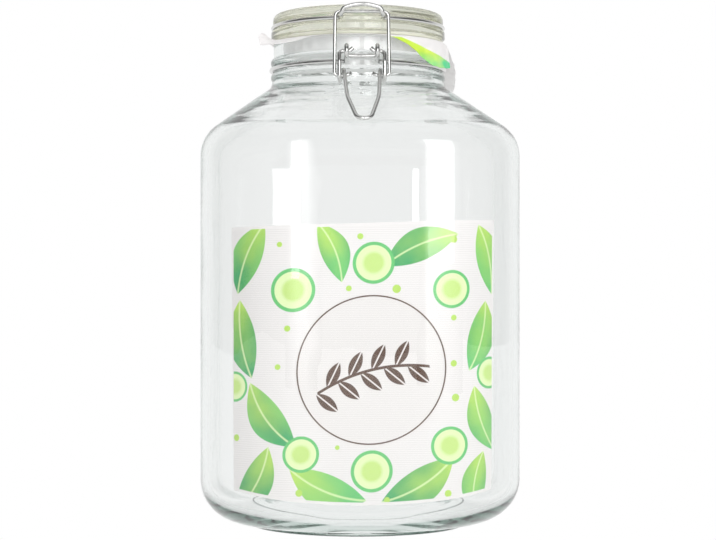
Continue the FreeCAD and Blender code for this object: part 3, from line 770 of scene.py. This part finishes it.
# %% Leaf print
BRIM = NECK + 0.2                  # where the leaf leaves the rim
CUP_LEAVES = [((-14, 12), 35, 17, 7), ((15, 14), 150, 16, 6.5), ((2, -17), 80, 15, 6), ((-24, -14), 20, 9, 4)]

leaf_finish = Print("leaf_paper", Roughness=0.4)
x, y, z = leaf_finish.place()
upper_face = leaf_finish.facing()[2].above(0, 0.2, 0.0, 0.8)
cloud = leaf_finish.noise(80.0, 2.0)
white = linear(250, 248, 248)
leaf_finish.lay_out(x, y, white)
for leaf_shape in CUP_LEAVES:
    mask, along, rib = leaf_finish.pointed_leaf(*leaf_shape)
    leaf_finish.ink(mask * upper_face, leaf_finish.mix(rib.below(0.1, 0.1, 0.8), FRESH, PALE))
outwards = (x * x + y * y).root()
hem = (z + (x - 22).most(0.0) * 0.37).below(269.3, 0.5)
on_corner = hem * x.above(0, 1) * y.below(-14, 2) * outwards.above(BRIM, 0.3) * leaf_finish.outer_face()
fade = (z + cloud * 6 - x * 0.1).above(258.5, 6.0)
tint = leaf_finish.mix(fade, linear(58, 196, 128), linear(186, 218, 62))
tint = leaf_finish.mix(cloud.above(0.52, 0.25, 0.0, 0.55), tint, linear(226, 238, 120))
leaf_finish.ink(on_corner, tint)
leaf_finish.set(Base_Color=leaf_finish.colour)

through = leaf_finish.node("BsdfTranslucent", Color=white)
share = outwards.above(45, 2, 0.15, 0.5) * (1 - on_corner)
leaf_finish.cover(leaf_finish.blend(share, leaf_finish.shader, through))
print("leaf nodes", len(leaf_finish.tree.nodes))

# %% [markdown]
# ### Sheet
# Cloth simulation could press the paper into shape, but its corners would fall by chance. They are given
# instead: at some azimuths, how far the sheet sticks out of the rim and how steeply it falls there. Between
# them both run straight.

# %% Leaf edge
OVERHANG = [  # azimuth from +X in degrees, how far the sheet sticks out, how steeply it falls in degrees
    (-81, 1.6, 30), (-70, 3.2, 50), (-63, 5.6, 62), (-56, 9.8, 69), (-50, 14.4, 71), (-43, 17.6, 73),
    (-36, 18.2, 72), (-28, 17.8, 72), (-21, 16.8, 72), (-16, 9.0, 68), (-10, 2.0, 50), (-3, 1.2, 45),
    (5, 8.0, 52), (12, 15.0, 55), (20, 22.5, 57), (30, 30.0, 57), (40, 20.0, 57), (51, 9.0, 50),
    (63, 1.0, 20), (92, 1.0, 5), (106, 6.0, 8), (121, 12.0, 9), (136, 6.0, 8), (151, 1.0, 5), (177, 1.0, 0),
    (183, 3.6, -30), (190, 7.4, -48), (196, 9.5, -32), (202, 12.4, -6), (208, 15.0, 17), (214, 12.0, 22),
    (221, 8.5, 30), (229, 5.0, 38), (236, 2.6, 40), (242, 1.0, 20), (262, 1.0, 10), (279, 1.0, 10),
]
FIRST = OVERHANG[0][0]


def overhang(degrees):
    """How far the sheet sticks out at this azimuth, and how steeply it falls."""
    degrees = (degrees - FIRST) % 360 + FIRST
    for (start, reach, fall), (end, next_reach, next_fall) in zip(OVERHANG, OVERHANG[1:]):
        if start <= degrees <= end:
            share = (degrees - start) / (end - start)
            return reach + (next_reach - reach) * share, fall + (next_fall - fall) * share


print("the longest corner sticks out", max(row[1] for row in OVERHANG), "mm")

# %% [markdown]
# Up to the rim every row is a ring with fine pleats at the cup's wall. Beyond it the sheet leaves level and
# bends down over its first few millimetres, and a little crumpling keeps it from looking like tin.

# %% Leaf sheet
ON_RIM = RIM + 0.23
CUP, CUP_FLOOR = PLUG + 0.85, PLUG_FOOT - 0.54     # the cup's radius and floor, just clear of the plug
CUP_STEPS, EDGE_STEPS = 5, 16
LEAF_THICK = 0.2


def free_edge(degrees):
    """Places (out, up, run) from the rim to the edge at this azimuth; run is the length of paper so far."""
    reach, fall = overhang(degrees)
    out, up, run, part = BRIM, ON_RIM, 0.0, reach / EDGE_STEPS
    places = []
    for _ in range(EDGE_STEPS):
        angle = math.radians(fall) * min(1, (run + part / 2) / 2.5)
        out += part * math.cos(angle)
        up -= part * math.sin(angle)
        run += part
        places.append((out, up, run))
    return places


cup = [(out, CUP_FLOOR) for out in (0.0, 12, 24, 34, 39.5)]
cup += [(CUP - 0.65, CUP_FLOOR + 0.15), (CUP - 0.15, CUP_FLOOR + 0.8)]
cup += [(CUP, CUP_FLOOR + 0.8 + step * 1.15) for step in range(1, CUP_STEPS + 1)]
cup += [(CUP + 0.15, RIM - 0.7), (CUP + 0.65, RIM), (43.2, ON_RIM), (45.5, ON_RIM), (BRIM, ON_RIM)]
azimuths = [math.radians(degrees) for degrees in range(361)]
places = []
for out, up in cup:
    for azimuth in azimuths:
        pleat = 0.38 * math.sin(azimuth * 37 + 2 * math.sin(azimuth * 5)) * max(0, 1 - abs(up - 266) / 3.6)
        places.append(turned_about(out + pleat, up, azimuth))
for row in zip(*[free_edge(degrees) for degrees in range(361)]):
    for azimuth, (out, up, run) in zip(azimuths, row):
        crumple = math.sin(azimuth * 23 + run * 0.5) * math.sin(azimuth * 9 + run * 0.23 + 1)
        crumple *= 0.35 * min(1, run / 6)
        places.append(turned_about(out + crumple, up + crumple * 0.4, azimuth))
leaf = sheet("leaf_sheet", places, len(azimuths), LEAF_THICK)
hand_in(leaf, leaf_finish, "leaf", "lid")

# %% [markdown]
# ## Studio
# White floor, white background and soft light. Clear glass shows what stands round it, so each kind of
# light gets its own surroundings. What is seen directly or through the glass is plain white. What is
# scattered comes more from behind the jar than from the front. What is mirrored finds light behind, above
# and a little in front, with dark between, which draws the edges of the glass.

# %% Surroundings
world = bpy.data.worlds.new("studio")
bpy.context.scene.world = world
world.use_nodes = True
sky = Nodes(world.node_tree)
sideways, ahead, over = sky.parts(sky.node("TexCoord").outputs["Generated"])
seen, scattered = sky.rays("Camera", "Transmission"), sky.rays("Diffuse")
mirrored = ahead.above(0.45, 0.3, 0.1, 0.95).most(over.above(0.8, 0.2, 0.0, 0.75),
                                                  (ahead * -1).above(0.6, 0.3, 0.0, 0.35))
scatter = ahead.above(-0.2, 0.6, 0.68, 1.15)
strength = seen + (1 - seen) * (scattered * scatter + (1 - scattered) * mirrored)
background = world.node_tree.nodes["Background"]
feed(sky.tree, strength, background.inputs["Strength"])
feed(sky.tree, (1, 1, 1), background.inputs["Color"])
print("surroundings ready")


# %% [markdown]
# ### Lamps and cards
# Two soft boxes light the jar from the front. Their mirror images would be hard white bars, so they don't
# show in reflections. In their place stand two cards that show only there, each bright at one side and
# fading to the other.

# %% Lamps and cards
LAMP_AWAY, LAMP_AIM = 1.5, 0.4
CARD_MIDDLE, CARD_TALL, CARD_GLOW = 0.6, 1.4, 4.6


def beside_camera(azimuth, away, height):
    """A place this many degrees to the right of straight in front."""
    angle = math.radians(azimuth)
    return Vector((away * math.sin(angle), -away * math.cos(angle), height))


def softbox(name, azimuth, height, width, tall, power):
    light = bpy.data.lights.new(name, "AREA")
    light.shape = "RECTANGLE"
    light.size = width
    light.size_y = tall
    light.energy = power
    lamp = bpy.data.objects.new(name, light)
    bpy.context.scene.collection.objects.link(lamp)
    lamp.location = beside_camera(azimuth, LAMP_AWAY, height)
    aim = beside_camera(azimuth, 0, LAMP_AIM)
    lamp.rotation_euler = (aim - lamp.location).to_track_quat("-Z", "Y").to_euler()
    lamp.visible_glossy = False


def card(name, azimuth, width, fade):
    """A bright card that only shows as a mirror image; fade softens its left, right, low and high edge."""
    place, aim = beside_camera(azimuth, LAMP_AWAY, CARD_MIDDLE), beside_camera(azimuth, 0, CARD_MIDDLE)
    bpy.ops.mesh.primitive_plane_add(size=1, location=place)
    piece = bpy.context.object
    piece.name = name
    piece.rotation_euler = (place - aim).to_track_quat("Z", "Y").to_euler()
    piece.scale = (width, CARD_TALL, 1)
    bright = Finish(name)
    x, y, z = [value / 1000 for value in bright.place()]
    from_edges = (x + 0.5, 0.5 - x, y + 0.5, 0.5 - y)
    left, right, low, high = [edge.above(soft / 2, soft) for edge, soft in zip(from_edges, fade)]
    bright.cover(bright.node("Emission", Color=left * right * low * high, Strength=CARD_GLOW))
    dress(piece, bright)
    for kind in ("camera", "diffuse", "transmission", "volume_scatter", "shadow"):
        setattr(piece, "visible_" + kind, False)


softbox("softbox_left", azimuth=-8.5, height=0.62, width=0.24, tall=0.95, power=4)
softbox("softbox_right", azimuth=23, height=0.72, width=0.85, tall=1.15, power=12)
card("card_left", azimuth=-9.2, width=0.49, fade=(0.7, 0.04, 0.3, 0.3))
card("card_right", azimuth=25, width=1.1, fade=(0.06, 0.8, 0.3, 0.3))
print("lamps and cards ready")

# %% [markdown]
# ### Floor
# The floor could be lit until it is white, but then the jar would be too bright. It glows white where it is
# looked at, straight, through glass or as a mirror image, and is a plain pale floor for all other light.

# %% Floor
bpy.ops.mesh.primitive_plane_add(size=6, location=(0, 0, -0.0002))
floor = bpy.context.object
floor.name = "floor"
pale_floor = Finish("floor", Base_Color=(0.8, 0.8, 0.8), Roughness=0.9)
glow = pale_floor.node("Emission", Color=(1, 1, 1), Strength=1.0)
looked_at = pale_floor.rays("Camera", "Transmission", "Glossy")
pale_floor.cover(pale_floor.blend(looked_at, pale_floor.shader, glow))
dress(floor, pale_floor)
print("floor ready")
